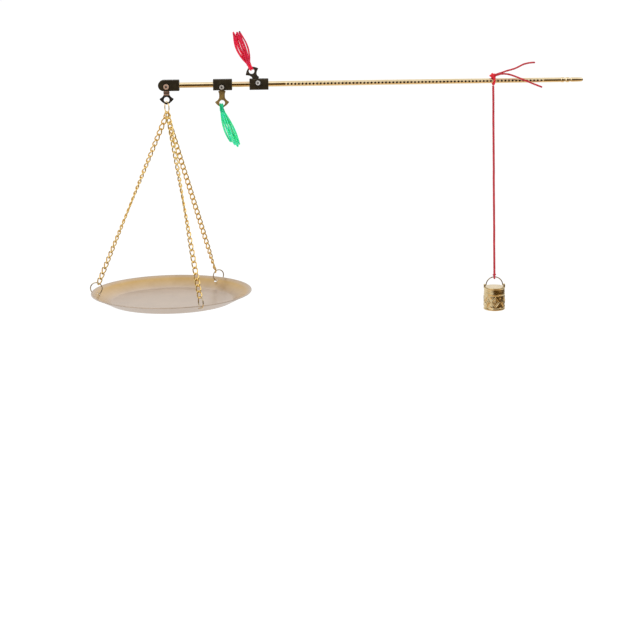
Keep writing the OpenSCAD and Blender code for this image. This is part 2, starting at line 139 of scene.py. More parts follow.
# Mesh helpers. Points are in millimetres
def grid_faces(rows, columns, close_rows=False, start=0):
    """Four-sided faces over rows of points, with each row closed on itself."""
    i = np.arange(rows if close_rows else rows - 1)
    i, j = (a.ravel() for a in np.meshgrid(i, np.arange(columns), indexing="ij"))
    i2, j2 = (i + 1) % rows, (j + 1) % columns
    quads = np.stack([i * columns + j, i * columns + j2, i2 * columns + j2, i2 * columns + j], 1)
    return [tuple(q) for q in (quads + start).tolist()]


def skin(rows, columns, closed):
    """The same faces, with one over each end unless the rows close up."""
    faces = grid_faces(rows, columns, closed)
    if not closed:
        faces += [tuple(range(columns))[::-1], tuple(range((rows - 1) * columns, rows * columns))]
    return faces


def join(*parts):
    points, faces, offset = [], [], 0
    for v, f in parts:
        points.append(np.asarray(v, float))
        faces += [tuple(i + offset for i in face) for face in f]
        offset += len(v)
    return np.concatenate(points), faces


def spacing(p):
    """Distance from each point of a path to the next."""
    return np.linalg.norm(np.diff(p, axis=0), axis=1)


def resample(path, step, closed=False):
    """Points about a step apart on a Catmull-Rom curve through the path."""
    p = np.asarray(path, float)
    if closed:
        p = np.vstack([p, p[:1]])
    s = np.r_[0, np.cumsum(spacing(p))]
    n = max(4, int(round(s[-1] / step)))
    t = np.linspace(0, s[-1], n + 1)
    k = np.clip(np.searchsorted(s, t, side="right") - 1, 0, len(p) - 2)
    u = ((t - s[k]) / (s[k + 1] - s[k]))[:, None]
    before, after = (p[-2], p[1]) if closed else (2 * p[0] - p[1], 2 * p[-1] - p[-2])
    ext = np.vstack([before, p, after])
    a, b, c, d = ext[k], ext[k + 1], ext[k + 2], ext[k + 3]
    q = 0.5 * (2 * b + (c - a) * u + (2 * a - 5 * b + 4 * c - d) * u**2 + (3 * b - a - 3 * c + d) * u**3)
    return q[:-1] if closed else q


def frames_along(path, start=(0, 0, 1), closed=False):
    """Direction at each point of a path, and two square to it that don't twist on the way."""
    n = len(path)
    if closed:
        t = np.roll(path, -1, 0) - np.roll(path, 1, 0)
    else:
        t = np.gradient(path, axis=0)
    t /= np.linalg.norm(t, axis=1)[:, None]
    u = np.zeros_like(t)
    first = np.asarray(start, float)
    if abs(np.dot(unit(first), t[0])) > 0.95:
        first = vec(0, 1.0, 0.1)
    u[0] = square_to(first, t[0])
    for i in range(1, n):
        u[i] = square_to(u[i - 1], t[i])
    if closed:
        w = square_to(u[-1], t[0])
        gap = atan2(np.dot(np.cross(w, u[0]), t[0]), np.dot(w, u[0]))
        for i in range(n):
            a = gap * i / n
            u[i] = u[i] * cos(a) + np.cross(t[i], u[i]) * sin(a)
    return t, u, np.cross(t, u)


def tube(path, radius, sides=12, closed=False, start=(0, 0, 1)):
    path = np.asarray(path, float)
    n = len(path)
    _, u, v = frames_along(path, start, closed)
    r = np.broadcast_to(np.asarray(radius, float), (n,))[:, None, None]
    a = round_angles(sides)[None, :, None]
    points = (path[:, None] + r * (u[:, None] * np.cos(a) + v[:, None] * np.sin(a))).reshape(-1, 3)
    return points, skin(n, sides, closed)


def rope(path, diameter, lay, seed, step=0.4, closed=False, hair=0.0):
    """Three strands twisted round a route, lay millimetres to the turn."""
    p = resample(path, step, closed)
    _, u, v = frames_along(p, (0, 1, 0), closed)
    s = np.r_[0, np.cumsum(spacing(p))]
    turns = s[-1] / lay
    if closed:
        turns = max(1, round(turns))
    whole = len(p) if closed else len(p) - 1
    radius = diameter / 2
    core, strand = 0.48 * radius, 0.65 * radius
    rng = np.random.default_rng(seed)
    parts = []
    for k in range(3):
        a = 2 * pi * (turns * s / s[-1] * (len(p) - 1) / whole + k / 3)
        wave = 1 + hair * np.sin(a * 2.3 + rng.uniform(0, 6)) if not closed else 1
        c = p + core * np.reshape(wave, (-1, 1)) * (u * np.cos(a)[:, None] + v * np.sin(a)[:, None])
        parts.append(tube(c, strand, 7, closed))
    return join(*parts)


def lathe(profile, steps=64, closed=False):
    """A profile of (radius, height) turned about Z."""
    p = np.asarray(profile, float)
    a = round_angles(steps)
    x = p[:, 0][:, None] * np.cos(a)
    y = p[:, 0][:, None] * np.sin(a)
    z = np.repeat(p[:, 1][:, None], steps, 1)
    return np.stack([x, y, z], -1).reshape(-1, 3), skin(len(p), steps, closed)


def stepped(r, start, *pairs):
    """Points of a profile, given from a radius and a height."""
    return [(r + out, start + up) for out, up in pairs]


# A lathe's Z axis turned onto X, or onto Y
def about_x(v):
    return np.stack([v[:, 2], v[:, 1], -v[:, 0]], 1)


def about_y(v):
    return np.stack([v[:, 0], -v[:, 2], v[:, 1]], 1)


def arc(cx, cz, r, a0, a1, n):
    angles = [a0 + (a1 - a0) * i / n for i in range(n + 1)]
    return [(cx + r * cosd(a), cz + r * sind(a)) for a in angles]


def raw(name, part, weld=False, outward=True):
    """A part as an object, its faces turned outward and, if asked, its meeting points welded."""
    points, faces = part
    mesh = bpy.data.meshes.new(name)
    mesh.from_pydata((np.asarray(points) * MM).tolist(), [], faces)
    if outward:
        bm = bmesh.new()
        bm.from_mesh(mesh)
        if weld:
            bmesh.ops.remove_doubles(bm, verts=bm.verts, dist=1e-7)
        bmesh.ops.recalc_face_normals(bm, faces=bm.faces)
        bm.to_mesh(mesh)
        bm.free()
    return new_object(name, mesh)


def piece(name, part, material, body, node, angle=35, fix=True):
    """A part as a piece of the object. Edges sharper than the angle stay crisp."""
    obj = raw(name, part, weld=fix, outward=fix)
    finish_piece(obj, material, body, node, angle)
    return obj


def finish_piece(obj, material, body, node, angle):
    for m in material if isinstance(material, list) else [material]:
        obj.data.materials.append(m)
    obj.data.shade_smooth()
    obj.data.set_sharp_from_angle(angle=radians(angle))
    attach(obj, body)
    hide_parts(node)


def evaluated_mesh(obj):
    """A new mesh of the object as its modifiers or curve settings make it."""
    deps = bpy.context.evaluated_depsgraph_get()
    return bpy.data.meshes.new_from_object(obj.evaluated_get(deps))


def mesh_part(mesh):
    """A mesh's points in millimetres, and its faces."""
    return np.array([v.co[:] for v in mesh.vertices]) / MM, [tuple(p.vertices) for p in mesh.polygons]


def cut(obj, *tools):
    for t in tools:
        m = obj.modifiers.new("cut", "BOOLEAN")
        m.operation = "DIFFERENCE"
        m.solver = "EXACT"
        m.object = t
    mesh = evaluated_mesh(obj)
    old = obj.data
    obj.modifiers.clear()
    obj.data = mesh
    bpy.data.meshes.remove(old)
    for t in tools:
        bpy.data.objects.remove(t, do_unlink=True)


def box_part(low, high):
    x0, y0, z0 = low
    x1, y1, z1 = high
    v = [(x, y, z) for x in (x0, x1) for y in (y0, y1) for z in (z0, z1)]
    f = [(0, 1, 3, 2), (4, 6, 7, 5), (0, 4, 5, 1), (2, 3, 7, 6), (0, 2, 6, 4), (1, 5, 7, 3)]
    return np.array(v, float), f


def prism(outline, low, high, axis):
    """An outline drawn out from low to high along X (axis 0) or Y (axis 1)."""
    n = len(outline)
    points = np.vstack([np.insert(np.array(outline, float), axis, at, 1) for at in (low, high)])
    faces = [tuple(range(n)), tuple(range(n, 2 * n))[::-1]]
    return points, faces + [(i, (i + 1) % n, n + (i + 1) % n, n + i) for i in range(n)]


def rounded(part, width, segments, pick=None):
    """A closed part with its edges, or those that pick takes, rounded."""
    mesh = bpy.data.meshes.new("shape")
    mesh.from_pydata(np.asarray(part[0]).tolist(), [], part[1])
    bm = bmesh.new()
    bm.from_mesh(mesh)
    bmesh.ops.recalc_face_normals(bm, faces=bm.faces)
    edges = [e for e in bm.edges if pick is None or pick(e)]
    bmesh.ops.bevel(bm, geom=edges, offset=width, segments=segments, profile=0.5, affect="EDGES")
    points = np.array([v.co[:] for v in bm.verts])
    faces = [tuple(v.index for v in f.verts) for f in bm.faces]
    bm.free()
    bpy.data.meshes.remove(mesh)
    return points, faces


# Materials
class Nodes:
    """Short calls for the nodes of a material or of the world."""

    def __init__(self, tree):
        self.tree = tree

    def feed(self, socket, value):
        """Links a socket to another, or gives it a constant."""
        if isinstance(value, bpy.types.NodeSocket):
            self.tree.links.new(value, socket)
        elif isinstance(value, tuple) and len(socket.default_value) == 4:
            socket.default_value = (*value, 1)
        else:
            socket.default_value = value

    def add(self, kind, feeds=None, **values):
        n = self.tree.nodes.new("ShaderNode" + kind)
        for k, v in values.items():
            setattr(n, k, v)
        for k, v in (feeds or {}).items():
            self.feed(n.inputs[k], v)
        return n

    def maths(self, kind, *values):
        return self.add("Math", dict(enumerate(values)), operation=kind).outputs[0]

    def seen_by(self, *kinds):
        """1 for rays of these kinds and 0 for others."""
        ray = self.add("LightPath").outputs
        found = ray[kinds[0]]
        for kind in kinds[1:]:
            found = self.maths("MAXIMUM", found, ray[kind])
        return found

    def glow(self, kind, colour, strength):
        return self.add(kind, {0: colour, 1: strength}).outputs[0]

    def finish(self, share, first, second, out):
        """Sends a blend of two shaders to the output node."""
        blend = self.add("MixShader", {0: share, 1: first, 2: second})
        self.feed(out.inputs[0], blend.outputs[0])


class Surface(Nodes):
    """A material, textured in the object's own frame."""

    def __init__(self, name):
        self.material = bpy.data.materials.new(name)
        self.material.use_nodes = True
        super().__init__(self.material.node_tree)
        self.shader = self.tree.nodes["Principled BSDF"]
        self.coords = self.add("TexCoord").outputs["Object"]

    def noise(self, scale, detail=4, rough=0.6, stretch=(1, 1, 1)):
        place = self.add("Mapping", {"Vector": self.coords, "Scale": stretch})
        feeds = {"Vector": place.outputs[0], "Scale": scale, "Detail": detail, "Roughness": rough}
        return self.add("TexNoise", feeds).outputs["Fac"]

    def ramp(self, value, stops):
        r = self.add("ValToRGB", {0: value})
        e = r.color_ramp.elements
        while len(e) < len(stops):
            e.new(0.5)
        for i, (at, colour) in enumerate(stops):
            e[i].position = at
            c = colour if isinstance(colour, tuple) else (colour,) * 3
            e[i].color = (*c, 1)
        return r.outputs[0]

    def mix(self, share, a, b):
        return self.add("Mix", {0: share, 6: a, 7: b}, data_type="RGBA").outputs[2]

    def cloudy(self, cloud, deep, light):
        """A colour from deep to light that follows a noise."""
        return self.mix(self.ramp(cloud, [(0.3, 0.0), (0.7, 1.0)]), deep, light)

    def shared(self, a, b, share):
        """Two noises in one, with this share of the first."""
        return self.maths("ADD", self.maths("MULTIPLY", a, share), self.maths("MULTIPLY", b, 1 - share))

    def xyz(self):
        return self.add("SeparateXYZ", {0: self.coords}).outputs

    def bump(self, height, distance, strength, after=None):
        feeds = {"Distance": distance, "Strength": strength, "Height": height}
        if after is not None:
            feeds["Normal"] = after
        return self.add("Bump", feeds).outputs[0]

    def set(self, **values):
        for k, v in values.items():
            self.feed(self.shader.inputs[k.replace("_", " ")], v)


def metal(name, light, deep, rough, grain=(1, 1, 1), scratch=0.00002, spots=0.0, bare=1.0, shine=0.5):
    """Clouded metal: a range of roughness, depth of scratches, tarnish spots, and share left bare."""
    m = Surface(name)
    cloud = m.noise(260, 4, 0.6)
    fine = m.noise(2600, 3, 0.65, grain)
    colour = m.cloudy(cloud, deep, light)
    if spots:
        speck = m.ramp(m.noise(1500, 5, 0.7), [(0.28, 1.0), (0.4, 0.0)])
        dark = tuple(c * 0.35 for c in deep)
        colour = m.mix(m.maths("MULTIPLY", speck, spots), colour, dark)
    roughness = m.ramp(m.shared(cloud, fine, 0.6), [(0.35, rough[0]), (0.65, rough[1])])
    m.set(Base_Color=colour, Metallic=bare, Roughness=roughness, Specular_IOR_Level=shine,
          Normal=m.bump(fine, scratch, 0.6))
    return m.material


def thread(name, light, mid, deep):
    m = Surface(name)
    cloud = m.noise(420, 3, 0.6)
    fibre = m.noise(3600, 2, 0.5, (1, 1, 0.35))
    tone = m.ramp(m.shared(cloud, fibre, 0.6), [(0.26, deep), (0.44, mid), (0.62, light)])
    m.set(Base_Color=tone, Roughness=0.6, Sheen_Weight=0.12, Sheen_Roughness=0.35,
          Subsurface_Weight=0.5, Subsurface_Scale=0.0006,
          Specular_IOR_Level=0.35, Normal=m.bump(fibre, 0.00004, 0.6))
    return m.material


gold = metal("gold_plate", (0.78, 0.65, 0.43), (0.71, 0.57, 0.34), (0.06, 0.14), (0.15, 1, 1))
gold_peened = metal("gold_peened", (0.8, 0.6, 0.33), (0.62, 0.43, 0.2), (0.34, 0.5),
                    scratch=0.00006, bare=0.3)
gold_wire = metal("gold_wire", (0.94, 0.7, 0.28), (0.78, 0.54, 0.17), (0.1, 0.2), spots=0.25)
old_wire = metal("dull_wire", (0.5, 0.41, 0.29), (0.33, 0.26, 0.17), (0.2, 0.34), spots=0.4)
ring_wire = metal("ring_wire", (0.66, 0.54, 0.36), (0.44, 0.35, 0.21), (0.1, 0.2), spots=0.4)
gold_cast = metal("gold_cast", (0.76, 0.61, 0.36), (0.56, 0.43, 0.22), (0.18, 0.32),
                  spots=0.35, scratch=0.00004)
# Near black: painted shade in the rod's pits and in the rivets' bores
pit_shade = metal("painted_pit_shade", (0.035, 0.015, 0.004), (0.018, 0.007, 0.002), (0.5, 0.7), bare=0.0, shine=0.1)
# Lighter than the blocks' bronze: edge wear and painted highlight on their rounded edges
bronze_edge_highlight = metal("bronze_edge_highlight", (0.075, 0.058, 0.034), (0.04, 0.03, 0.018), (0.4, 0.55), bare=0.2)
black_bronze = metal("black_bronze", (0.06, 0.045, 0.026), (0.028, 0.021, 0.013), (0.3, 0.45), spots=0.5,
                     scratch=0.00004, bare=0.4)
brass = metal("aged_brass", (0.33, 0.2, 0.045), (0.2, 0.12, 0.03), (0.3, 0.44), spots=0.4,
              scratch=0.00004, bare=0.3)
copper = metal("copper", (0.56, 0.36, 0.25), (0.42, 0.26, 0.17), (0.25, 0.4), bare=0.3)
silver = metal("silver", (0.74, 0.71, 0.66), (0.54, 0.51, 0.47), (0.2, 0.32), bare=0.3)
# A darker, warmer copy of the silver: painted shade on the near rivet
silver_painted_shade = metal("silver_painted_shade", (0.56, 0.5, 0.43), (0.36, 0.31, 0.26), (0.24, 0.38), bare=0.3)
red_thread = thread("red_thread", (0.68, 0.04, 0.055), (0.52, 0.022, 0.036), (0.32, 0.01, 0.018))
# A lighter copy of the red thread for the hitch: painted light that lifts the knot out of its own shade
red_painted_light = thread("red_thread_painted_light", (0.92, 0.022, 0.036), (0.84, 0.014, 0.028), (0.6, 0.008, 0.016))
crimson = thread("crimson_thread", (1.0, 0.018, 0.075), (1.0, 0.012, 0.06), (0.78, 0.004, 0.03))
# A darker copy of the crimson for every fourth thread, as painted shade
crimson_painted_shade = thread("crimson_thread_painted_shade", (0.92, 0.013, 0.055), (0.8, 0.008, 0.042), (0.6, 0.003, 0.026))
green = thread("green_thread", (0.14, 1.0, 0.54), (0.07, 0.95, 0.44), (0.035, 0.82, 0.35))
# A darker copy of the green for every fourth thread, as painted shade
green_painted_shade = thread("green_thread_painted_shade", (0.05, 0.9, 0.41), (0.035, 0.8, 0.34), (0.02, 0.68, 0.28))
green_dark = thread("green_shade", (0.015, 0.64, 0.29), (0.01, 0.54, 0.23), (0.005, 0.41, 0.16))
tip_dark = thread("singed_tip", (0.12, 0.04, 0.05), (0.07, 0.03, 0.035), (0.04, 0.02, 0.025))


def bronze_with_pin_shade():
    """Dark patinated bronze, with painted shade that turns it black around the three pins."""
    m = Surface("dark_bronze")
    cloud = m.noise(240, 4, 0.65)
    fine = m.noise(2600, 3, 0.65, (1, 1, 0.2))
    colour = m.cloudy(cloud, (0.018, 0.0115, 0.004), (0.038, 0.026, 0.009))
    # Painted shade: black as far as the first distance from a pin, and gone at the second, in centimetres
    for pin, near, far in ((END_PIN, 0.2, 0.3), (NEAR_PIN, 0.17, 0.29), (FAR_PIN, 0.17, 0.29)):
        flat = m.add("VectorMath", {0: m.coords, 1: (1, 0, 1)}, operation="MULTIPLY")
        away = m.add("VectorMath", {0: flat.outputs[0], 1: tuple(pin * MM)}, operation="DISTANCE")
        painted_pin_shade = m.ramp(m.maths("MULTIPLY", away.outputs["Value"], 100), [(near, 1.0), (far, 0.0)])
        colour = m.mix(painted_pin_shade, colour, (0.005, 0.004, 0.003))
    rough = m.ramp(m.shared(cloud, fine, 0.6), [(0.35, 0.4), (0.65, 0.55)])
    m.set(Base_Color=colour, Metallic=0.1, Specular_IOR_Level=0.17, Roughness=rough,
          Normal=m.bump(fine, 0.00004, 0.6))
    return m.material


def banded_hook():
    """Dark bronze, with painted highlight in copper brown bands across the neck below the end block."""
    m = Surface("hook_metal")
    cloud = m.noise(260, 4, 0.6)
    fine = m.noise(2600, 3, 0.65)
    # Centimetres below the pin
    drop = m.maths("MULTIPLY", m.maths("ADD", m.xyz()[2], -END_PIN[2] * MM), -100)
    # Painted highlight: the copper brown (bare) shows over the two bars across the neck, and only faintly
    # between them
    painted_highlight = m.ramp(drop, [(0.33, 0.0), (0.36, 1.0), (0.41, 1.0), (0.45, 0.12), (0.52, 0.12), (0.55, 1.0),
                         (0.63, 1.0), (0.67, 0.0)])
    dark = m.cloudy(cloud, (0.012, 0.009, 0.006), (0.03, 0.02, 0.012))
    bare = m.cloudy(cloud, (0.33, 0.18, 0.11), (0.48, 0.29, 0.195))
    rough = m.ramp(fine, [(0.35, 0.26), (0.65, 0.42)])
    m.set(Base_Color=m.mix(painted_highlight, dark, bare), Metallic=0.3, Roughness=rough,
          Normal=m.bump(fine, 0.00004, 0.6))
    return m.material


def pan_finish(name, gilt, bare):
    """Spun metal with fine turning rings, gilt on the wall and pale on the floor."""
    m = Surface(name)
    cloud = m.noise(90, 4, 0.6)
    fine = m.noise(1800, 3, 0.6)
    place = m.xyz()
    x = m.maths("ADD", place[0], -END_PIN[0] * MM)
    squares = [m.maths("MULTIPLY", side, side) for side in (x, place[1])]
    radius = m.maths("SQRT", m.maths("ADD", *squares))
    rings = m.maths("SINE", m.maths("MULTIPLY", radius, 9000))
    wobble = m.maths("MULTIPLY", rings, m.ramp(m.noise(60, 2), [(0.35, 0.1), (0.7, 1.0)]))
    floor = m.cloudy(cloud, (0.465, 0.375, 0.3), (0.54, 0.44, 0.355))
    wall = m.cloudy(cloud, (0.5, 0.32, 0.12), (0.575, 0.385, 0.165))
    # Radius in decimetres
    on_wall = m.ramp(m.maths("MULTIPLY", radius, 10), [(0.45, 0.0), (0.5, 0.5), (0.565, 1.0), (0.596, 0.3)])
    colour = m.mix(m.maths("MULTIPLY", on_wall, gilt), floor, wall)
    rough = m.ramp(m.shared(cloud, fine, 0.5), [(0.35, 0.3), (0.65, 0.4)])
    turning = m.bump(wobble, 0.000012, 0.5)
    m.set(Base_Color=colour, Metallic=bare, Roughness=rough, Normal=m.bump(fine, 0.00002, 0.4, turning))
    return m.material


bronze = bronze_with_pin_shade()
hook_metal = banded_hook()
pan_metal = pan_finish("pan_metal", 1.0, 1.0)
pan_under = pan_finish("pan_under", 0.0, 1.0)
pan_rim = pan_finish("pan_rim", 0.25, 0.35)

# Rod: a turned rod whose marks are small conical pits, in a row at the front and one at the back
# Each row: place of its first mark, spacing, and number of marks
FRONT_MARKS = (22.4, 2.72, 71)
BACK_MARKS = (26.8, 4.1, 46)
PIT_R, PIT_WALL, PIT_DEPTH = 0.66, 0.5, 0.36
LIP_R, LIP_W, LIP_H = 0.78, 0.12, 0.05
# Painted shade reaches this far from a mark's centre, past its lip
PIT_SHADE_R = 0.87
TAPER_FROM = 8
TIP = 227.5
REACH = 244.5


def rod_radius(x):
    s = np.clip((x - TAPER_FROM) / (TIP - TAPER_FROM), 0, None)
    return ROD_R - 0.3 * s**1.2


def rod_parts():
    """The marked rod, and a tone for each face: 0 polished, 1 peened, 2 painted shade, near black, in and
    round the pits.
    """
    xs = np.arange(7.5, TIP - 0.02, FRONT_MARKS[1] / 14)
    front = np.radians(np.linspace(-24, 24, 15))
    back = np.radians(np.linspace(-24, 24, 13))
    side = np.radians(np.linspace(24, 156, 13)[1:-1])
    # Angle from the front, going over the top to the back and round underneath
    a = np.concatenate([front, side, np.pi + back, np.pi + side])
    r = rod_radius(xs)[:, None] * np.ones(len(a))
    tone = np.zeros_like(r, int)
    for (first, pitch, count), centre in ((FRONT_MARKS, 0.0), (BACK_MARKS, np.pi)):
        k = np.clip(np.round((xs - first) / pitch), 0, count - 1)
        dx = xs - (first + k * pitch)
        da = (a - centre + np.pi) % (2 * np.pi) - np.pi
        d = np.hypot(dx[:, None], da[None, :] * 2.0)
        lip = LIP_H * np.exp(-((d - LIP_R) / LIP_W) ** 2)
        r = r - PIT_DEPTH * np.clip((PIT_R - d) / PIT_WALL, 0, 1) + lip * (np.abs(da) < 0.5)
        land = (np.abs(dx)[:, None] < 0.75 * pitch) & (np.abs(da)[None, :] < 0.36)
        # Faces close to a mark's centre take tone 2, the painted shade
        tone = np.where(d < PIT_SHADE_R, 2, np.where(land & (tone == 0), 1, tone))
    x = np.repeat(xs[:, None], len(a), 1)
    points = np.stack([x, -r * np.cos(a), r * np.sin(a) + AXIS_Z], -1).reshape(-1, 3)
    faces = grid_faces(len(xs), len(a))
    flat = tone.ravel()
    tones = [sorted(flat[i] for i in f)[1] for f in faces]
    return points, faces + [tuple(range(len(a)))], tones


def arc_out(r, x0, x1, swell):
    """A turned bead of the tip's profile."""
    return [(r + swell * sin(pi * i / 6), x0 + (x1 - x0) * i / 6) for i in range(7)]


def tip_part():
    r, t = 1.8, TIP
    profile = [(rod_radius(t - 0.3), t - 0.3)] + stepped(r, t, (0, 0), (0.05, 0.25), (0.2, 0.6))
    profile += arc_out(r + 0.15, t + 0.6, t + 2.4, 0.12)
    profile += stepped(r, t, (-0.1, 2.7), (-0.25, 3), (-0.25, 3.6), (-0.1, 3.95))
    profile += arc_out(r + 0.15, t + 4.2, t + 6.2, 0.1)
    profile += stepped(r, t, (-0.1, 6.5), (-0.35, 6.9), (-0.35, 7.6), (-0.15, 8.0), (0, 8.4), (-0.08, 9.3),
                       (-0.03, 10.2), (-0.12, 11.2), (-0.06, 12.1), (-0.14, 13.4), (-0.2, 14.6))
    profile += stepped(r, REACH, (-0.3, -1.4), (-0.5, -0.6), (-0.9, -0.15), (-1.3, -0.03))
    return on_axis(profile + [(0.02, REACH)])


def on_axis(profile):
    """A profile of (radius, x) turned about the rod's axis."""
    v, f = lathe(profile, 56)
    return about_x(v) + vec(0, 0, AXIS_Z), f


def hole_tool(at):
    v, f = lathe([(1.05, -6), (1.05, 6)], 48)
    return raw("tool", (about_y(v) + at, f))


def slot_tool(at, half, up):
    """A slot for a hanger's plate, open above the pin (up = 1) or below it (up = -1)."""
    low, high = sorted((at[2] - up * SLOT_PAST_PIN, at[2] + up * 12))
    return raw("tool", box_part((at[0] - half, -SLOT_HALF, low), (at[0] + half, SLOT_HALF, high)))


NEAR_SLOT = (NEAR_PIN, 4.45, -1)
FAR_SLOT = (FAR_PIN, 4.3, 1)


def build_rod():
    points, faces, tones = rod_parts()
    rod = raw("rod_marked", (points, faces))
    index = np.zeros(len(rod.data.polygons), int)
    index[: len(tones)] = tones
    rod.data.polygons.foreach_set("material_index", index)
    finish_piece(rod, [gold, gold_peened, pit_shade], "beam", "beam_rod", 50)
    piece("rod_tip", tip_part(), gold, "beam", "beam_rod", 40)
    shank = raw("rod_shank", on_axis([(ROD_R, SEAT_FROM), (ROD_R, -40), (ROD_R, -20), (ROD_R, 7.6)]))
    cut(shank, slot_tool(*NEAR_SLOT), slot_tool(*FAR_SLOT), hole_tool(NEAR_PIN), hole_tool(FAR_PIN))
    finish_piece(shank, gold, "beam", "beam_rod", 40)


build_rod()


# Blocks
def bar_outline(x0, x1, nose):
    """The front outline of a block, with a round nose at its left end if asked."""
    h = BLOCK_H / 2
    z = AXIS_Z
    if not nose:
        return [(x0, z - h), (x1, z - h), (x1, z + h), (x0, z + h)]
    left = [(x0 + h - h * sind(a), z + h * cosd(a)) for a in range(0, 181, 10)]
    return [(x1, z - h), (x1, z + h)] + left


def block(name, x0, x1, tools, node, nose=False):
    d = BLOCK_D / 2
    bar = prism(bar_outline(x0, x1, nose), -d, d, 1)
    obj = raw(name, rounded(bar, 0.36, 4, lambda e: e.calc_face_angle(0) > 0.6))
    seat = raw("seat", on_axis([(ROD_R, SEAT_FROM), (ROD_R, 8)]))
    cut(obj, seat, *tools)
    obj.data.materials.clear()
    # The rounded edges, lighter as edge wear and painted highlight, are the small slanting faces near an
    # outer side
    for p in obj.data.polygons:
        n = np.abs(np.array(p.normal))
        c = np.array(p.center) / MM
        outer = abs(abs(c[1]) - d) < 0.6 or abs(abs(c[2] - AXIS_Z) - BLOCK_H / 2) < 0.6
        p.material_index = 1 if outer and 0.2 < np.max(n) < 0.985 and p.area < 2e-5 else 0
    finish_piece(obj, [bronze, bronze_edge_highlight], "beam", node, 30)


def build_blocks():
    end, near = END_PIN[0], NEAR_PIN[0]
    nose = end - 6.1
    end_slot = raw("tool", box_part((nose - 1, -SLOT_HALF, -20), (end + 4, SLOT_HALF, 20)))
    block("end_body", nose, nose + 15.8, [end_slot, hole_tool(END_PIN)], "end_block", nose=True)
    block("near_body", near - 6.5, near + 7.7, [slot_tool(*NEAR_SLOT), hole_tool(NEAR_PIN)], "near_block")
    block("far_body", -6.4, 7.8, [slot_tool(*FAR_SLOT), hole_tool(FAR_PIN)], "far_block")


build_blocks()


# Hollow rivets with rolled lips
def rivet(name, at, flange, material, node):
    half = BLOCK_D / 2
    lip = 0.24
    back = [(0.12, 0.2), (0.6, 0.5), (0.65, half - 0.3), (0.65, half + 0.1), (0.72, half + 0.3),
            (0.85, half + 0.42), (flange - 0.5, half + 0.45)]
    back += arc(flange - lip, half + 0.2, lip, 90, 0, 6) + [(flange, half + 0.02), (1.05, half)]
    profile = [(0.12, 0)] + [(r, -y) for r, y in back] + back[::-1]
    v, f = lathe(profile, 56, closed=True)
    obj = piece(name, (about_y(v) + at, f), [material, pit_shade], "beam", node, 40)
    # The bore is painted near black, as painted shade in the hole
    for p in obj.data.polygons:
        c = np.array(p.center) / MM - at
        p.material_index = int(hypot(c[0], c[2]) < 0.7 and abs(c[1]) < half + 0.25)


rivet("end_eyelet", END_PIN, 2.1, copper, "end_rivet")
rivet("near_eyelet", NEAR_PIN, 1.8, silver_painted_shade, "near_rivet")
rivet("far_eyelet", FAR_PIN, 1.8, silver, "far_rivet")


# Hangers
PLATE_HALF = 0.65
HEAD_R = 2
PIN_HOLE_R = 1.12


def bezier(a, b, c, n):
    a, b, c = (np.array(p, float) for p in (a, b, c))
    shares = [i / n for i in range(n + 1)]
    return [tuple(a * (1 - t) ** 2 + 2 * b * t * (1 - t) + c * t**2) for t in shares]


def hanger_outline(reach, shoulder, wide):
    """A round head at the pin, a shoulder and neck, and a spade round the eye, reach below the pin."""
    right = [(HEAD_R * sind(a), HEAD_R * cosd(a)) for a in range(0, 133, 6)]
    right += [(1.3, 1 - shoulder), (wide - 0.1, 0.25 - shoulder), (wide, 0.05 - shoulder)]
    right += bezier((wide, -shoulder - 0.5), (1.95, -shoulder - 1.2), (2.2, 4.0 - reach), 9)
    right += bezier((2.3, 3.7 - reach), (2.75, 2.2 - reach), (5.25, 0.78 - reach), 11)
    right += bezier((5.28, 0.5 - reach), (3.4, -2.3 - reach), (0, -3.65 - reach), 13)
    left = [(-x, z) for x, z in right[1:-1]][::-1]
    return right + left


def flat_curve(loops, thickness, edge):
    """A plate in XZ with rounded edges, from its outline and the outlines of its holes."""
    curve = bpy.data.curves.new("plate", "CURVE")
    curve.dimensions = "2D"
    curve.fill_mode = "BOTH"
    curve.extrude = (thickness / 2 - edge) * MM
    curve.bevel_depth = edge * MM
    curve.bevel_resolution = 3
    curve.offset = -edge * MM
    for loop in loops:
        s = curve.splines.new("POLY")
        s.points.add(len(loop) - 1)
        for p, (x, z) in zip(s.points, loop):
            p.co = (x * MM, z * MM, 0, 1)
        s.use_cyclic_u = True
    obj = new_object("plate", curve)
    points, faces = mesh_part(evaluated_mesh(obj))
    bpy.data.objects.remove(obj, do_unlink=True)
    # The curve lies in XY: stand it up in XZ
    return np.stack([points[:, 0], -points[:, 2], points[:, 1]], 1), faces


def circle(cz, r):
    turn = [2 * pi * i / 40 for i in range(40)]
    return [(r * cos(a), cz - r * sin(a)) for a in turn]


def cross_bar(z, half_w, half_h, proud):
    deep = PLATE_HALF + proud
    bar = box_part((-half_w, -deep, z - half_h), (half_w, deep, z + half_h))
    return rounded(bar, min(half_h * 0.8, 0.22), 3)


def hanger(name, at, reach, shoulder, wide, bars, material, body, node, turn=0.0):
    outlines = [hanger_outline(reach, shoulder, wide), circle(0, PIN_HOLE_R), circle(-reach, EYE_R)]
    v, f = join(flat_curve(outlines, 2 * PLATE_HALF, 0.2), *[cross_bar(*bar) for bar in bars])
    piece(name, (rotated_y(v, turn) + at, f), material, body, node, 30, fix=False)


# Bars across a neck: height from the pin, half width, half height, and how far they stand proud
hanger("pan_hook_plate", END_PIN, PAN_REACH, 4.4, 2.35,
       [(-3.75, 2.2, 0.42, 0.12), (-5.85, 2.15, 0.5, 0.12)], hook_metal, "pan_hook", "pan_hanger")
hanger("near_plate", NEAR_PIN, NEAR_REACH, 3.3, 2.7, [(-3.45, 2.62, 0.34, 0.12), (-8.0, 2.0, 0.26, 0.08)],
       brass, "near_lift", "near_hanger")
hanger("far_plate", FAR_PIN, FAR_REACH, 3.3, 2.7, [(-3.45, 2.62, 0.34, 0.12), (-6.0, 2.05, 0.26, 0.08)],
       black_bronze, "far_lift", "far_hanger", turn=180 - FAR_LEAN)


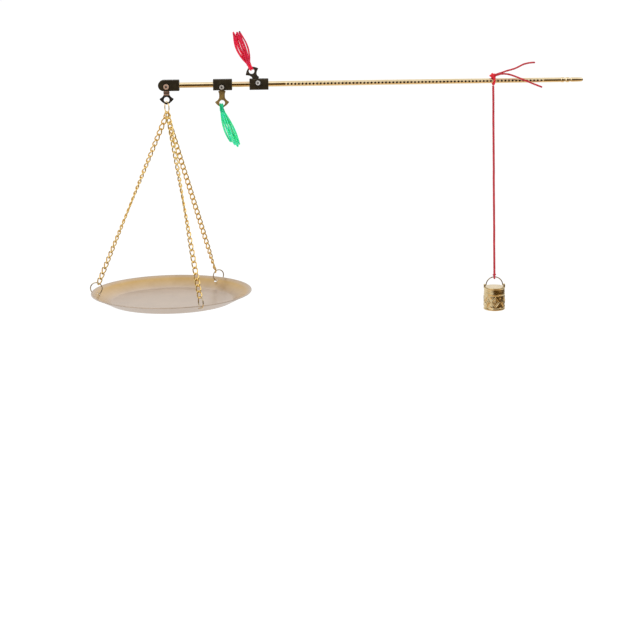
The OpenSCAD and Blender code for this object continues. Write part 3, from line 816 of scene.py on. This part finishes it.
# Rings
def ring_part(at, azimuth):
    """A round ring that stands up, in the plane of this direction seen from above."""
    a = round_angles(72)
    d = vec(cosd(azimuth), sind(azimuth), 0)
    path = at + RING_R * (np.cos(a)[:, None] * d + np.sin(a)[:, None] * vec(0, 0, 1.0))
    return tube(path, WIRE_R, 16, closed=True)


RING_TURN = 24
RING_PLAY = 0.3
RING_ALONG = vec(sind(RING_TURN), -cosd(RING_TURN), 0)
TOP_RING = END_PIN - vec(0, 0, PAN_REACH + EYE_R - WIRE_R - RING_PLAY + RING_R)
piece("gather_ring", ring_part(TOP_RING, RING_TURN - 90), gold_wire, "ring", "top_ring")

# Left, front and back: where the pan's holes are, how the rim rings stand in them, and the chains
SIDES = ("left", "front", "back")
HOLE_OUT = 56
RIM_RING_Z = RIM_Z + 1.85
HOLE_DIR = (175, 295, 55)
RIM_RING_DIR = (179, 295, 28)
RIM_RING_OFF = (1.8, 1.8, 2.4)
HOOK_LEAN = (25, 22, 35)
TOP_HOOK = (0, 24, -24)
CHAIN_TWIST = (-128, -180, -85)
TWIST_POWER = (1, 1.35, 7)
LINKS = 32
LINK_WIRE = 0.85
LINK_GAP = 0.1
LINK_SHOWN = 1.0
TOP_LINK_SHOWN = 0.8
LINK_HALF_W = 1.63
LINK_RISE = 0.62


def plan(degrees, lean=90):
    """A direction seen from above, leaning this far from upright."""
    return vec(sind(lean) * cosd(degrees), sind(lean) * sind(degrees), cosd(lean))


def rim_ring_at(i):
    p = vec(END_PIN[0], 0, 0) + HOLE_OUT * plan(HOLE_DIR[i])
    p += RIM_RING_OFF[i] * plan(RIM_RING_DIR[i])
    p[2] = RIM_RING_Z
    return p


for i, side in enumerate(SIDES):
    ring = ring_part(rim_ring_at(i), RIM_RING_DIR[i])
    piece(f"{side}_loop", ring, ring_wire, "pan_set", f"rim_ring_{side}")


# Curb chains: every link is a wire loop twisted out of its own plane, with its faces filed a little flat
def chain(i):
    top = TOP_RING + RING_R * (RING_ALONG * sind(TOP_HOOK[i]) - vec(0, 0, cosd(TOP_HOOK[i])))
    end = rim_ring_at(i) + RING_R * plan(RIM_RING_DIR[i], -HOOK_LEAN[i])
    span = np.linalg.norm(end - top)
    along = (end - top) / span
    # Half a link's length, such that the links fill the span from ring to ring
    ring_d = 2 * WIRE_R
    half = span + (LINK_WIRE + LINK_GAP) * (LINKS - 1) + LINK_WIRE + ring_d + 2 * RING_PLAY
    half /= 2 * LINKS
    first = half - (LINK_WIRE + ring_d) / 2 - RING_PLAY
    pitch = 2 * half - LINK_WIRE - LINK_GAP
    flat = square_to(RING_ALONG, along)
    rings, sides = 36, 12
    t = round_angles(rings)
    b = round_angles(sides)
    points, faces = [], []
    for k in range(LINKS):
        out = turned(flat, along, CHAIN_TWIST[i] * (k / (LINKS - 1)) ** TWIST_POWER[i])
        side = np.cross(out, along)
        at = top + along * (first + pitch * k)
        p = (np.cos(t)[:, None] * half * along + np.sin(t)[:, None] * LINK_HALF_W * side
             + np.sin(2 * t)[:, None] * LINK_RISE * out)
        d = np.roll(p, -1, 0) - np.roll(p, 1, 0)
        d /= np.linalg.norm(d, axis=1)[:, None]
        u = out - (d @ out)[:, None] * d
        u /= np.linalg.norm(u, axis=1)[:, None]
        v = np.cross(d, u)
        wire = LINK_SHOWN if k else TOP_LINK_SHOWN
        c, e = np.cos(b)[None, :, None], np.sin(b)[None, :, None]
        q = p[:, None] + wire / 2 * (u[:, None] * c + v[:, None] * e)
        # Press what stands out too far most of the way back, as a filed face
        height = q @ out
        proud = np.clip(np.abs(height) - (LINK_RISE + 0.24), 0, None)
        q = q - np.sign(height)[..., None] * proud[..., None] * out * 0.8
        points.append((q + at).reshape(-1, 3))
        faces += grid_faces(rings, sides, True, k * rings * sides)
    part = (np.concatenate(points), faces)
    piece(f"curb_{SIDES[i]}", part, gold_wire, "pan_set", f"chain_{SIDES[i]}", 50)


for i in range(3):
    chain(i)


# Pan: radius of the bead on its rim, depth, and the wall's slope
BEAD_AT = 60.5
PAN_DEPTH = 7.6
WALL_SLOPE = float(np.degrees(atan(7.1 / 14.5)))


def rim_hole(direction):
    """A round tool across the sloping wall."""
    v, f = lathe([(1.6, -3), (1.6, 3)], 36)
    v = rotated_y(v, -WALL_SLOPE) + vec(HOLE_OUT, 0, 0)
    c, d = cosd(direction), sind(direction)
    v = np.stack([v[:, 0] * c - v[:, 1] * d, v[:, 0] * d + v[:, 1] * c, v[:, 2]], 1)
    drop = (BEAD_AT - HOLE_OUT) * tan(radians(WALL_SLOPE))
    return raw("tool", (v + vec(END_PIN[0], 0, RIM_Z - drop), f))


def build_pan():
    z = RIM_Z
    bottom = z - PAN_DEPTH
    knee = [(46 + 1.9 * s, bottom + 0.03 + 0.5 * s**2.2) for s in (0, 0.25, 0.5, 0.75, 1.0)]
    wall = [(47.9 + (60.4 - 47.9) * s, bottom + 0.53 + (z - 0.4 - bottom - 0.53) * s)
            for s in np.linspace(0.1, 1, 12)]
    bead = arc(BEAD_AT, z - 0.25, 0.45, -100, 150, 14)
    inner_wall = [(60.1 + (47.6 - 60.1) * s, z - 0.02 + (bottom + 1.05 - z) * s)
                  for s in np.linspace(0.06, 0.94, 12)]
    inner_knee = [(47.6 - 2.2 * s, bottom + 1.05 - 0.5 * (1 - (1 - s) ** 2.2))
                  for s in (0.2, 0.4, 0.6, 0.8, 1.0)]
    floor = [(r, bottom + 0.52 + 0.05 * sin(r * 0.9)) for r in (42, 37, 32, 27, 22, 17, 12, 7, 3, 0.4)]
    under = [(r, bottom) for r in (0.4, 8, 16, 24, 32, 40)]
    v, f = lathe(under + knee + wall + bead + inner_wall + inner_knee + floor, 180)
    dish = raw("pan_dish", (v + vec(END_PIN[0], 0, 0), f))
    cut(dish, *[rim_hole(direction) for direction in HOLE_DIR])
    for face in dish.data.polygons:
        away = hypot(face.center.x / MM - END_PIN[0], face.center.y / MM)
        face.material_index = 2 if away > BEAD_AT - 0.7 else int(face.normal.z < -0.1)
    finish_piece(dish, [pan_metal, pan_under, pan_rim], "pan_set", "pan", 40)


build_pan()


# Poise with a moulded band of lozenges between fillets
POISE_R, POISE_H = 8.3, 17.8
PANELS = 7
POISE_STEPS = 48 * PANELS
EAR_R, EAR_THICK, EAR_IN = 1.1, 1.25, 0.12


def poise_relief(u, v):
    """Height of the moulding: u goes round in panels, v is 0 at the band's foot and 1 at its top."""
    x = (u % 1.0) * 2 - 1
    y = v * 2 - 1
    loz = np.abs(x) / 0.86 + np.abs(y) / 0.8
    line = np.exp(-((loz - 0.94) / 0.07) ** 2)
    inner = np.exp(-((loz - 0.56) / 0.06) ** 2) * 0.7
    petal = np.clip(1 - np.hypot(x * 1.15, y * 0.95) / 0.3, 0, 1)
    star = petal * (0.7 + 0.3 * np.cos(4 * np.arctan2(y, x)))
    cx = (np.abs(x) - 1) / 0.17
    cy = (np.abs(y) - 0.7) / 0.14
    dots = np.exp(-(cx**2 + cy**2)) * 0.8
    edge = np.exp(-((np.abs(y) - 0.97) / 0.05) ** 2)
    return 0.34 * np.maximum.reduce([line, inner, star, dots, edge])


def poise_shell():
    """The turned body, hanging down from 0, with the relief raised on its band."""
    r, h = POISE_R, POISE_H
    profile = [(0.02, 0), (3, 0)]
    profile += stepped(r, 0, (-1.6, 0), (-0.6, -0.02), (-0.3, -0.06), (-0.12, -0.16), (-0.02, -0.34),
                       (0, -0.6), (-0.02, -0.85), (-0.12, -1.05), (-0.24, -1.2), (-0.3, -1.4))
    profile += [(r - 0.3 + 0.03 * sin(k), -1.4 - 0.42 * k) for k in range(1, 10)]
    band0, rows = len(profile), 56
    band_top, band_foot, band_r = -5.6, -h + 1.5, r - 0.36
    profile += [(band_r, band_top + (band_foot - band_top) * k / (rows - 1)) for k in range(rows)]
    profile += stepped(r, -h, (-0.1, 1.35), (0, 1.1), (0, 0.8), (-0.15, 0.45), (-0.5, 0.15), (-1, 0),
                       (-3, 0))
    v, f = lathe(profile + [(0.02, -h)], POISE_STEPS)
    grid = v.reshape(-1, POISE_STEPS, 3)
    band = grid[band0:band0 + rows]
    u = np.arctan2(band[..., 1], band[..., 0]) / (2 * pi) * PANELS + 0.25
    w = np.linspace(1, 0, rows)[:, None] * np.ones(POISE_STEPS)
    height = poise_relief(u, w) * np.clip(np.minimum(w, 1 - w) / 0.02, 0, 1)
    for k in (0, 1):
        band[..., k] *= 1 + height / band_r
    grid[band0:band0 + rows] = band
    return grid.reshape(-1, 3), f


def poise_ear(s, at):
    """An ear with a hole for the bail, on the left (s = -1) or the right (s = 1) of the body's top."""
    outline = [(-EAR_R, -0.6), (EAR_R, -0.6)] + arc(0, BAIL_PIN, EAR_R, 0, 180, 12)
    outer = s * (POISE_R - EAR_IN)
    low, high = sorted((outer, outer - s * EAR_THICK))
    v, f = rounded(prism(outline, low, high, 0), 0.2, 3, lambda e: e.calc_face_angle(0) > 0.7)
    ear = raw("ear", (v + at, f))
    v, f = lathe([(0.51, -12), (0.51, 12)], 32)
    cut(ear, raw("tool", (about_x(v) + at + vec(0, 0, BAIL_PIN), f)))
    part = mesh_part(ear.data)
    bpy.data.objects.remove(ear, do_unlink=True)
    return part


def build_poise():
    at = vec(HANG_X, 0, POISE_TOP)
    v, f = poise_shell()
    part = join((v + at, f), poise_ear(-1, at), poise_ear(1, at))
    piece("poise_shell", part, gold_cast, "poise", "poise_body", 38)


build_poise()


def build_bail():
    r = BAIL_R
    foot = [(r, 0.7), (r + 0.126, 0.16), (r + 0.42, 0), (7.4, 0), (7.95, 0)]
    bow = [(r * cosd(a), r * sind(a)) for a in range(172, 7, -6)]
    path = [(-x, z) for x, z in foot[::-1]] + bow + foot
    p = np.array([(HANG_X + x, 0, POISE_TOP + BAIL_PIN + z) for x, z in path], float)
    wire = tube(resample(p, 0.3), WIRE_R, 14, start=(0, 1, 0))
    piece("bail_wire", wire, old_wire, "bail", "poise_bail", 50)


build_bail()

# Cord, hitch, tails and tie. Routes in millimetres, x from the hitch
CORD_ROUTE = [
    (0, 0, -5.1), (0, 0, -6), (0.1, 0, -12), (0.2, 0, -20), (0.2, 0, -28), (0.3, 0, -36), (0.4, 0, -44),
    (0.5, 0, -52), (0.6, 0, -60), (0.7, 0, -68), (0.7, 0, -76), (0.8, 0, -84), (0.9, 0, -92), (1, 0, -100),
    (1.1, 0, -108), (1.2, 0, -116), (1.2, 0, -124), (1.3, 0, -132), (1.4, 0, -140), (1.5, 0, -149.5),
]
UPPER_TAIL = [
    (1.6, -0.6, 3.4), (2.9, -0.8, 4), (4.8, -1, 4.6), (6.8, -1.2, 5.2), (9, -1.4, 6), (11.4, -1.5, 6.7),
    (13.8, -1.5, 7.3), (16, -1.4, 8), (18.2, -1.3, 8.9), (20.4, -1.2, 10), (22.6, -1.1, 11),
    (24.8, -1, 11.6), (27, -0.9, 12), (29.2, -0.8, 12.2), (31.2, -0.8, 12.3),
]
LOWER_TAIL = [
    (1.2, -1.7, 2.8), (2.8, -2.5, 3.4), (5, -3.1, 4), (7.4, -3.2, 4.2), (10, -3.3, 4), (12.6, -3.3, 3.4),
    (15.2, -3.3, 2.5), (17.8, -3.3, 1.5), (20.4, -3.3, 0.4), (23, -3.3, -0.7), (25.6, -3.2, -1.8),
    (28.2, -3.1, -2.9), (30.8, -3, -4), (33.6, -2.9, -5.1), (36.4, -2.8, -6.2),
]


def route(points):
    return np.array(points, float) + vec(POISE_X, 0, 0)


def free_cord(name, points, diameter, lay, body, node, hair, seed):
    p = route(points)
    obj = piece(name, rope(p, diameter, lay, hair=hair, seed=seed), red_thread, body, node, 60)


free_cord("hanging_cord", CORD_ROUTE, 1.6, 4.2, "cord", "poise_cord", 0.0, 3)
free_cord("upper_tail", UPPER_TAIL, 1.3, 3.4, "slider", "cord_tail_upper", 0.1, 4)
free_cord("lower_tail", LOWER_TAIL, 1.3, 3.4, "slider", "cord_tail_lower", 0.1, 5)


def build_hitch():
    """One turn round the rod, and a knot on top."""
    ring_r = ROD_R + 0.02 + 0.79
    turn = [((k / 28 - 0.5) * 1.95 + 0.1, ring_r * sin(2 * pi * k / 28),
             AXIS_Z + ring_r * cos(2 * pi * k / 28)) for k in range(29)]
    # Strands of the knot: over the front and up, then round the bundle twice
    front = [(0.4, -2.6, 0.6), (0.0, -2.45, 1.7), (-0.4, -2.1, 2.8), (-0.6, -1.4, 3.7), (-0.7, -0.3, 4.1),
             (-0.9, 0.9, 3.7), (-1.0, 1.6, 2.8), (-0.9, 1.7, 1.9)]
    parts = [rope(route(turn), 1.4, 4.0, 6, step=0.35), rope(route(front), 1.45, 4.0, 7, step=0.35)]
    for wide, deep, (x, y, z), tilt, lag, diameter, seed in (
        (1.25, 1.25, (-0.6, -0.2, 2.4), 0.4, 2.7, 1.5, 8),
        (1.1, 1.2, (-0.3, -0.3, 3.2), 0.45, 0.4, 1.4, 9),
    ):
        loop = [(1.3 * cos(a) * wide + x, deep * sin(a) + y, z + tilt * cos(a + lag))
                for a in round_angles(18)]
        parts.append(rope(route(loop), diameter, 3.8, seed, step=0.35, closed=True))
    core, faces = lathe([(0.05, -1.5), (1.3, -1.3), (1.7, -0.5), (1.6, 0.5), (1.1, 1.1), (0.05, 1.3)], 24)
    parts.append((core + vec(POISE_X - 0.4, -0.2, 2.8), faces))
    # The hitch takes the lighter copy of the red, as painted light
    piece("hitch_knot", join(*parts), red_painted_light, "slider", "cord_hitch", 60)


build_hitch()


def build_tie():
    """A loop round the top of the bail, and one turn that draws it in."""
    top = POISE_TOP + BAIL_PIN + BAIL_R
    r = WIRE_R + 0.12 + 0.6
    a = round_angles(24)
    loop = [(HANG_X, r * sin(t), top + r * cos(t)) for t in a]
    wrap = [(HANG_X + 0.95 * cos(t), 0.85 * sin(t), top + r + 0.55 + 0.16 * sin(t + 1))
            for t in a]
    parts = [rope(path, diameter, lay, seed, step=0.25, closed=True)
             for path, diameter, lay, seed in ((loop, 1.2, 2.6, 11), (wrap, 0.9, 2.4, 12))]
    piece("tie_loop", join(*parts), red_thread, "cord", "bail_tie", 60)


build_tie()


# Tassels: four small hanks of looped threads, which part below the knot and draw together again
LOOP_MID = [(3.4, -0.1), (0.9, 1.7), (-3.4, 0.1), (-0.9, -1.7)]
SINGED_PAST = 1.3
# One thread in this many takes the darker copy of its colour, as painted shade
THREADS_A_SHADE = 4


def strand_foot(k):
    return 1.37 * np.array([cosd(45 * k), sind(45 * k)])


def strand_end(k):
    side = 1 if (k % 2 == 0) == (k < 4) else -1
    return np.array(LOOP_MID[k // 2]) + np.array([side * 1.15, 0])


def loop_route(i, long, shut, squeeze, rng):
    """One thread of loop i: down one strand, round its end and back up."""
    offset = rng.normal(0, 0.36, 2)
    longer = long + rng.normal(0, 0.5)
    tight = 0.42 + 0.25 * rng.random()
    ends = [strand_end(2 * i), strand_end(2 * i + 1)]
    middle = (ends[0] + ends[1]) / 2
    sway = rng.normal(0, 0.1, 2)
    ways = []
    for k in (2 * i, 2 * i + 1):
        foot = strand_foot(k)
        way = []
        for t in np.linspace(0, 1, 11):
            out = ends[k % 2] + (middle - ends[k % 2]) * tight * t**3
            xy = foot + (out - foot) * sind(shut * t**0.9)
            xy = xy + offset * sin(pi * (0.2 + 0.65 * t)) + sway * sin(2.3 * pi * t + i)
            xy = xy * (squeeze[int(xy[0] > 0)], 1)
            way.append((xy[0], xy[1], -longer * t))
        ways.append(way)
    a, b = np.array(ways[0][-1]), np.array(ways[1][-1])
    m, h = (a + b) / 2, (b - a) / 2
    depth = np.linalg.norm(h) * 1.5
    bend = [m - h * cosd(t) - vec(0, 0, depth * sind(t)) for t in (30, 60, 90, 120, 150)]
    return np.array(ways[0] + [tuple(p) for p in bend] + ways[1][::-1])


def tassel(name, place, longs, shut, squeeze, count, materials, body, node, seed, singed=None):
    """Four hanks of threads. Every fourth thread takes the second material, a darker copy as painted shade.
    The singed thread is longer, and its tip takes the last material.
    """
    rng = np.random.default_rng(seed)
    parts, tones = [], []
    for i in range(4):
        for n in range(count):
            burnt = singed == (i, n)
            p = loop_route(i, longs[i] + SINGED_PAST * burnt, shut, squeeze, rng)
            p = resample(p, 0.7)
            v, f = tube(p, 0.29 + 0.04 * rng.random(), 7)
            parts.append((v, f))
            tip = p[:, 2].min() + SINGED_PAST + 0.6
            # Every fourth thread takes the darker copy, as painted shade
            shade = int(n % THREADS_A_SHADE == THREADS_A_SHADE - 1)
            tones += [2 if burnt and v[list(face), 2].mean() < tip else shade for face in f]
    points, faces = join(*parts)
    obj = piece(name, (place(points), faces), materials, body, node, 60, fix=False)
    obj.data.polygons.foreach_set("material_index", np.array(tones, int))


def knot(name, place_wrap, place_knot, material, body, node):
    """The web through the eye and the wound neck, both wrapped with thread."""
    parts = []
    a = round_angles(60)
    for k in range(5):
        shift = (k - 2) * 0.5
        r = 1.95 + 0.34 * cos(k * 2.1)
        loop = np.stack([shift + 0.12 * np.sin(a * 2 + k), r * np.sin(a), r * np.cos(a)], 1)
        v, f = tube(loop, 0.42, 8, closed=True)
        parts.append((place_wrap(v), f))
    turns = 15
    t = np.linspace(0, 1, turns * 22)
    w = 1.55 + 0.12 * np.sin(t * pi) - 0.14 * np.exp(-((t - 0.42) / 0.06) ** 2)
    a = t * turns * 2 * pi
    coil = np.stack([w * np.cos(a), w * np.sin(a), -0.2 - 3.1 * t], 1)
    under = lathe([(0.3, 0.1), (1.1, 0), (1.5, -0.3), (1.52, -1.2), (1.4, -1.5), (1.52, -1.8), (1.5, -3.1),
                   (1.2, -3.35), (0.3, -3.4)], 28)
    parts += [(place_knot(v), f) for v, f in (tube(coil, 0.16, 6), under)]
    piece(name, join(*parts), material, body, node, 60)


def tassel_places(eye, fall, turn=0.0):
    """Puts tassel points in place: wrap at the eye, knot below it, and skein from the knot."""
    def wrap(v):
        return rotated_y(v + vec(-0.5, 0, -2.87) + eye, turn)

    def neck(v):
        return rotated_y(rotated_y(v, -fall) + vec(-0.5, 0, -4.6) + eye, turn)

    def skein(v):
        return neck(v + vec(0, 0, 1.2 - 3.4))

    return wrap, neck, skein


wrap, neck, skein = tassel_places(NEAR_PIN - vec(0, 0, NEAR_REACH), 21)
knot("green_knot", wrap, neck, green_dark, "near_lift", "near_knot")
tassel("green_skein", skein, (26, 28, 22.5, 25), 115, (0.9, 0.7), 9, [green, green_painted_shade],
       "near_lift", "near_tassel", 21)
wrap, neck, skein = tassel_places(FAR_PIN - vec(0, 0, FAR_REACH), 20 - FAR_LEAN, turn=180 - FAR_LEAN)
knot("crimson_knot", wrap, neck, crimson, "far_lift", "far_knot")
tassel("crimson_skein", skein, (23.6, 21.8, 22.4, 23), 145, (0.84, 0.95), 11,
       [crimson, crimson_painted_shade, tip_dark], "far_lift", "far_tassel", 22, singed=(2, 0))


# Floor, world and lights
def build_world():
    """White where it is seen, and a cool even light elsewhere."""
    world = bpy.data.worlds.new("studio")
    bpy.context.scene.world = world
    world.use_nodes = True
    world.node_tree.nodes.clear()
    t = Nodes(world.node_tree)
    white = t.glow("Background", (1, 1, 1), 1)
    soft = t.glow("Background", (0.92, 0.95, 1), 0.95)
    seen = t.seen_by("Is Camera Ray", "Is Glossy Ray", "Is Transmission Ray")
    t.finish(seen, soft, white, t.add("OutputWorld"))


def card(name, centre, size, turn, colour):
    w, h = size[0] / 2, size[1] / 2
    mesh = bpy.data.meshes.new(name)
    mesh.from_pydata([(-w, -h, 0), (w, -h, 0), (w, h, 0), (-w, h, 0)], [], [(0, 1, 2, 3)])
    obj = new_object(name, mesh)
    obj.location = centre
    obj.rotation_euler = tuple(radians(x) for x in turn)
    m = Surface(name)
    m.set(Base_Color=colour, Roughness=0.9, Specular_IOR_Level=0.0)
    mesh.materials.append(m.material)
    return obj, m


def build_floor():
    """A matt floor that glows white where it is seen."""
    _, m = card("floor", (0.06, 0.3, -0.44), (60, 60), (0, 0, 0), (0.86, 0.86, 0.86))
    white = m.glow("Emission", (1, 1, 1), 1.11)
    share = m.maths("MULTIPLY", m.seen_by("Is Camera Ray", "Is Glossy Ray"), 0.8)
    m.finish(share, m.shader.outputs[0], white, m.tree.nodes["Material Output"])


def build_cards():
    """Cards out of view, which give the polished metal its dark lines and warm undersides."""
    umber = (0.1, 0.055, 0.014)
    for row in (
        ("card_front", (1.25, -1.75, 0.44), (3.2, 1.76), (90, 0, 0), umber),
        ("card_low", (1.2, -1.1, -0.435), (3.1, 1.3), (0, 0, 0), umber),
        ("card_right_low", (1.75, 0.35, -0.435), (1.7, 1.6), (0, 0, 0), umber),
        ("card_left", (-1.75, -0.2, 0.17), (2.0, 1.06), (90, 0, 90), umber),
        ("card_right", (2.0, -0.2, 0.17), (2.0, 1.06), (90, 0, 90), umber),
        ("card_warm", (0.1, -0.235, -0.434), (1.6, 0.42), (0, 0, 0), (0.95, 0.66, 0.36)),
    ):
        obj, _ = card(*row)
        obj.visible_camera = False
        obj.visible_shadow = False
        obj.visible_diffuse = False


def lamp(name, centre, size, power):
    """A soft square lamp that faces the middle of the object."""
    data = bpy.data.lights.new(name, "AREA")
    data.shape = "RECTANGLE"
    data.size, data.size_y = size
    data.energy = power
    obj = new_object(name, data)
    obj.location = centre
    d = unit(np.array(centre) - vec(0.05, 0, -0.08))
    obj.rotation_euler = (0, acos(d[2]), atan2(d[1], d[0]))


build_world()
build_floor()
build_cards()
lamp("key", (-0.8, -0.9, 1.2), (1.6, 1.6), 6)
lamp("fill", (1.0, -0.5, 0.9), (1.2, 1.2), 1.5)
lamp("back", (0.1, 1.3, 1.0), (1.4, 1.0), 1)
bpy.context.scene.view_settings.view_transform = "Standard"
